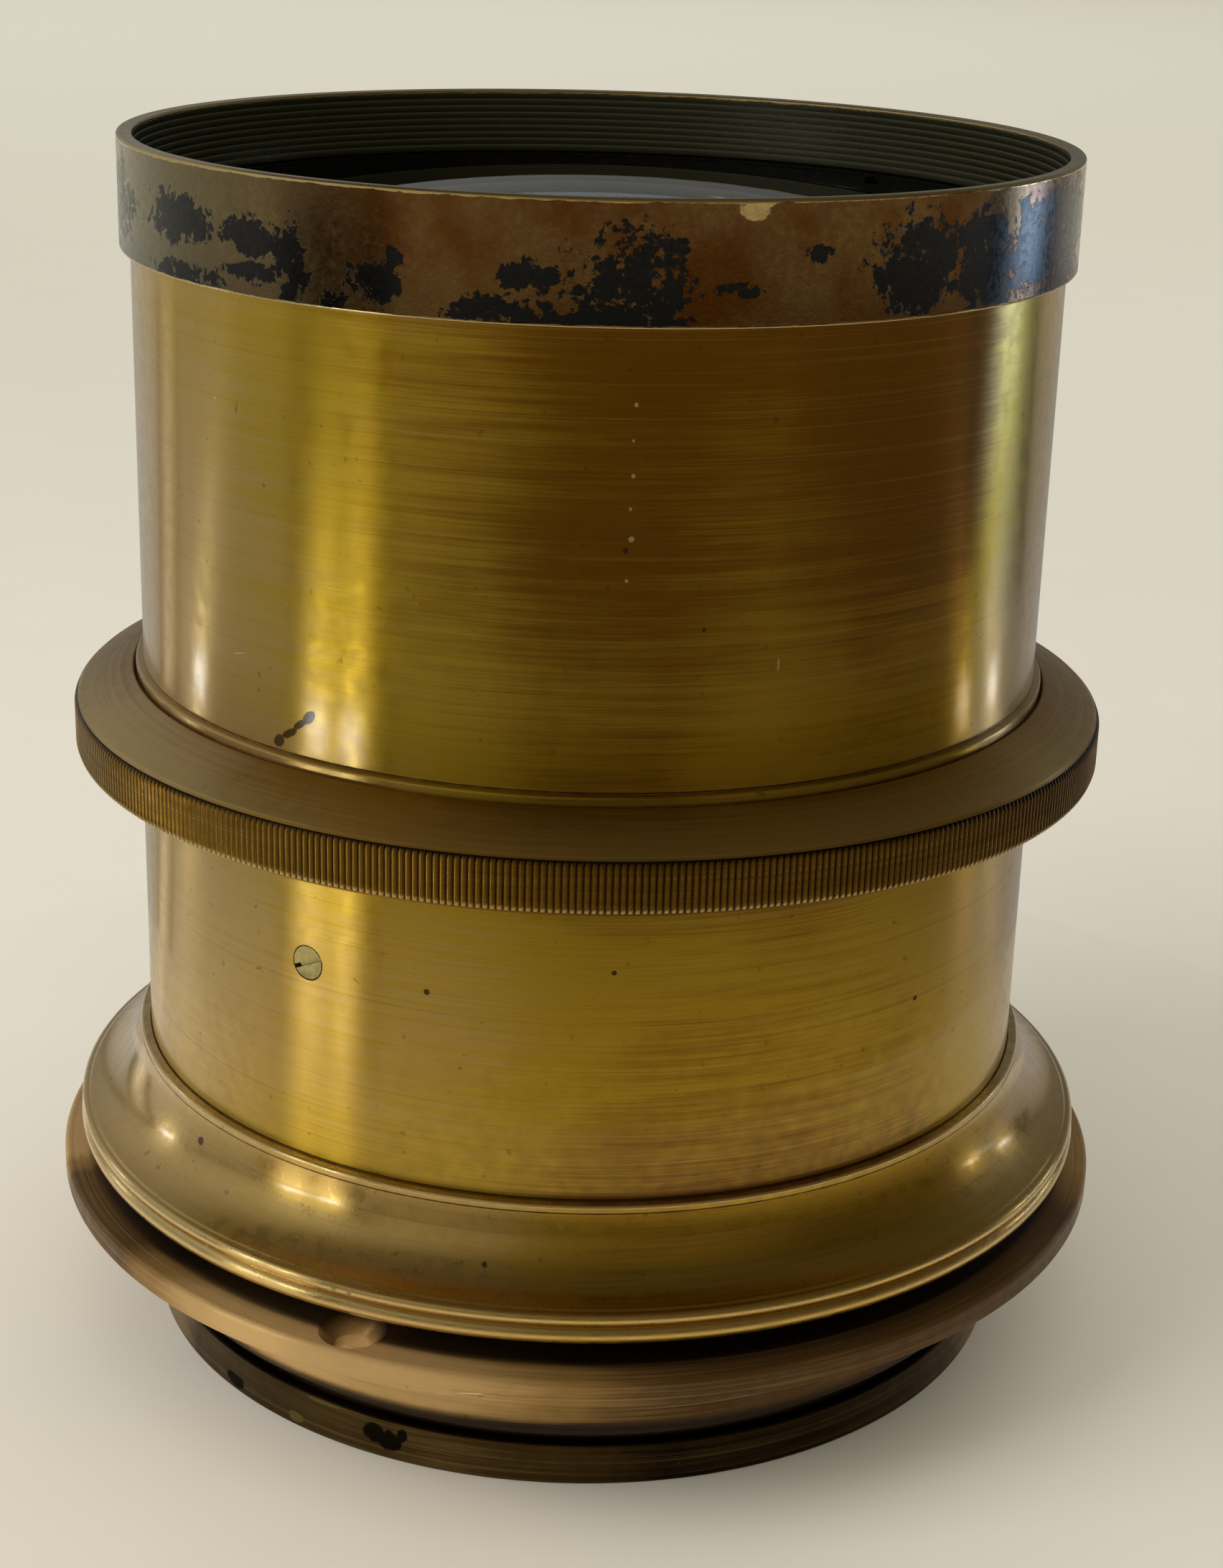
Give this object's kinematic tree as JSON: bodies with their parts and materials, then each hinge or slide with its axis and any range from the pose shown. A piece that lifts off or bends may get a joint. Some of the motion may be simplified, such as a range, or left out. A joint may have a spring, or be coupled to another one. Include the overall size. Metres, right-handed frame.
{
  "type": "brass camera lens",
  "caption": "Antique brass camera lens with a black hood, knurled aperture ring, leaf iris, cove-moulded shoulder, screw flange and two cemented glass groups.",
  "frame": {"origin": "centre of the underside of the rear cell, where the lens stands", "axes": "+Z along the optical axis towards the hood; -Y is the side that the picture shows"},
  "size_m": [0.1096, 0.1096, 0.1209],
  "materials": {
    "lacquered_brass": "aged lacquered brass with fine turning marks",
    "turned_brass": "turned brass, aged and partly polished",
    "flange_brass": "dull brown brass",
    "patinated_brass": "purple-brown patina with bright edges",
    "worn_black_paint": "black paint worn to brown brass",
    "rear_black": "blackened brass worn to brown",
    "inner_black": "matt black",
    "blade_steel": "blued steel sheet",
    "screw_metal": "pale worn screw heads",
    "glass": "polished optical glass"
  },
  "bodies": {
    "barrel": {"lens_hood": "worn_black_paint", "front_cell": "inner_black", "front_retaining_ring": "inner_black", "front_flint_glass": "glass", "front_crown_glass": "glass", "front_barrel": "lacquered_brass", "iris_retaining_ring": "inner_black", "iris_housing": "inner_black", "barrel_screws": "screw_metal", "rear_barrel": "lacquered_brass", "shoulder_ring": "turned_brass", "mounting_flange": "flange_brass", "rear_cell": "rear_black", "rear_crown_glass": "glass", "rear_flint_glass": "glass", "rear_retaining_ring": "inner_black"},
    "ring": {"aperture_ring": "patinated_brass", "drive_screw": "screw_metal", "iris_drive_ring": "inner_black"},
    "iris_blade_01": {"iris_blade_01": "blade_steel"},
    "iris_blade_02": {"iris_blade_02": "blade_steel"},
    "iris_blade_03": {"iris_blade_03": "blade_steel"},
    "iris_blade_04": {"iris_blade_04": "blade_steel"},
    "iris_blade_05": {"iris_blade_05": "blade_steel"},
    "iris_blade_06": {"iris_blade_06": "blade_steel"},
    "iris_blade_07": {"iris_blade_07": "blade_steel"},
    "iris_blade_08": {"iris_blade_08": "blade_steel"},
    "iris_blade_09": {"iris_blade_09": "blade_steel"},
    "iris_blade_10": {"iris_blade_10": "blade_steel"},
    "iris_blade_11": {"iris_blade_11": "blade_steel"},
    "iris_blade_12": {"iris_blade_12": "blade_steel"}
  },
  "joints": [
    {"name": "aperture_ring_turn", "type": "hinge", "parent": "barrel", "child": "ring", "pos_m": [0, 0, 0.0639], "axis": [0, 0, 1], "range_deg": [-12, 44]},
    {"name": "iris_blade_01_pivot", "type": "hinge", "parent": "barrel", "child": "iris_blade_01", "pos_m": [0.0381, 0, 0.0585], "axis": [0, 0, 1], "range_deg": [-6.01, 22.01]},
    {"name": "iris_blade_02_pivot", "type": "hinge", "parent": "barrel", "child": "iris_blade_02", "pos_m": [0.033, 0.01905, 0.0585], "axis": [0, 0, 1], "range_deg": [-6.01, 22.01]},
    {"name": "iris_blade_03_pivot", "type": "hinge", "parent": "barrel", "child": "iris_blade_03", "pos_m": [0.01905, 0.033, 0.0585], "axis": [0, 0, 1], "range_deg": [-6.01, 22.01]},
    {"name": "iris_blade_04_pivot", "type": "hinge", "parent": "barrel", "child": "iris_blade_04", "pos_m": [0, 0.0381, 0.0585], "axis": [0, 0, 1], "range_deg": [-6.01, 22.01]},
    {"name": "iris_blade_05_pivot", "type": "hinge", "parent": "barrel", "child": "iris_blade_05", "pos_m": [-0.01905, 0.033, 0.0585], "axis": [0, 0, 1], "range_deg": [-6.01, 22.01]},
    {"name": "iris_blade_06_pivot", "type": "hinge", "parent": "barrel", "child": "iris_blade_06", "pos_m": [-0.033, 0.01905, 0.0585], "axis": [0, 0, 1], "range_deg": [-6.01, 22.01]},
    {"name": "iris_blade_07_pivot", "type": "hinge", "parent": "barrel", "child": "iris_blade_07", "pos_m": [-0.0381, 0, 0.0585], "axis": [0, 0, 1], "range_deg": [-6.01, 22.01]},
    {"name": "iris_blade_08_pivot", "type": "hinge", "parent": "barrel", "child": "iris_blade_08", "pos_m": [-0.033, -0.01905, 0.0585], "axis": [0, 0, 1], "range_deg": [-6.01, 22.01]},
    {"name": "iris_blade_09_pivot", "type": "hinge", "parent": "barrel", "child": "iris_blade_09", "pos_m": [-0.01905, -0.033, 0.0585], "axis": [0, 0, 1], "range_deg": [-6.01, 22.01]},
    {"name": "iris_blade_10_pivot", "type": "hinge", "parent": "barrel", "child": "iris_blade_10", "pos_m": [0, -0.0381, 0.0585], "axis": [0, 0, 1], "range_deg": [-6.01, 22.01]},
    {"name": "iris_blade_11_pivot", "type": "hinge", "parent": "barrel", "child": "iris_blade_11", "pos_m": [0.01905, -0.033, 0.0585], "axis": [0, 0, 1], "range_deg": [-6.01, 22.01]},
    {"name": "iris_blade_12_pivot", "type": "hinge", "parent": "barrel", "child": "iris_blade_12", "pos_m": [0.033, -0.01905, 0.0585], "axis": [0, 0, 1], "range_deg": [-6.01, 22.01]}
  ],
  "couplings": [
    {"joint": "iris_blade_01_pivot", "follows": "aperture_ring_turn", "ratio": 0.5},
    {"joint": "iris_blade_02_pivot", "follows": "aperture_ring_turn", "ratio": 0.5},
    {"joint": "iris_blade_03_pivot", "follows": "aperture_ring_turn", "ratio": 0.5},
    {"joint": "iris_blade_04_pivot", "follows": "aperture_ring_turn", "ratio": 0.5},
    {"joint": "iris_blade_05_pivot", "follows": "aperture_ring_turn", "ratio": 0.5},
    {"joint": "iris_blade_06_pivot", "follows": "aperture_ring_turn", "ratio": 0.5},
    {"joint": "iris_blade_07_pivot", "follows": "aperture_ring_turn", "ratio": 0.5},
    {"joint": "iris_blade_08_pivot", "follows": "aperture_ring_turn", "ratio": 0.5},
    {"joint": "iris_blade_09_pivot", "follows": "aperture_ring_turn", "ratio": 0.5},
    {"joint": "iris_blade_10_pivot", "follows": "aperture_ring_turn", "ratio": 0.5},
    {"joint": "iris_blade_11_pivot", "follows": "aperture_ring_turn", "ratio": 0.5},
    {"joint": "iris_blade_12_pivot", "follows": "aperture_ring_turn", "ratio": 0.5}
  ]
}
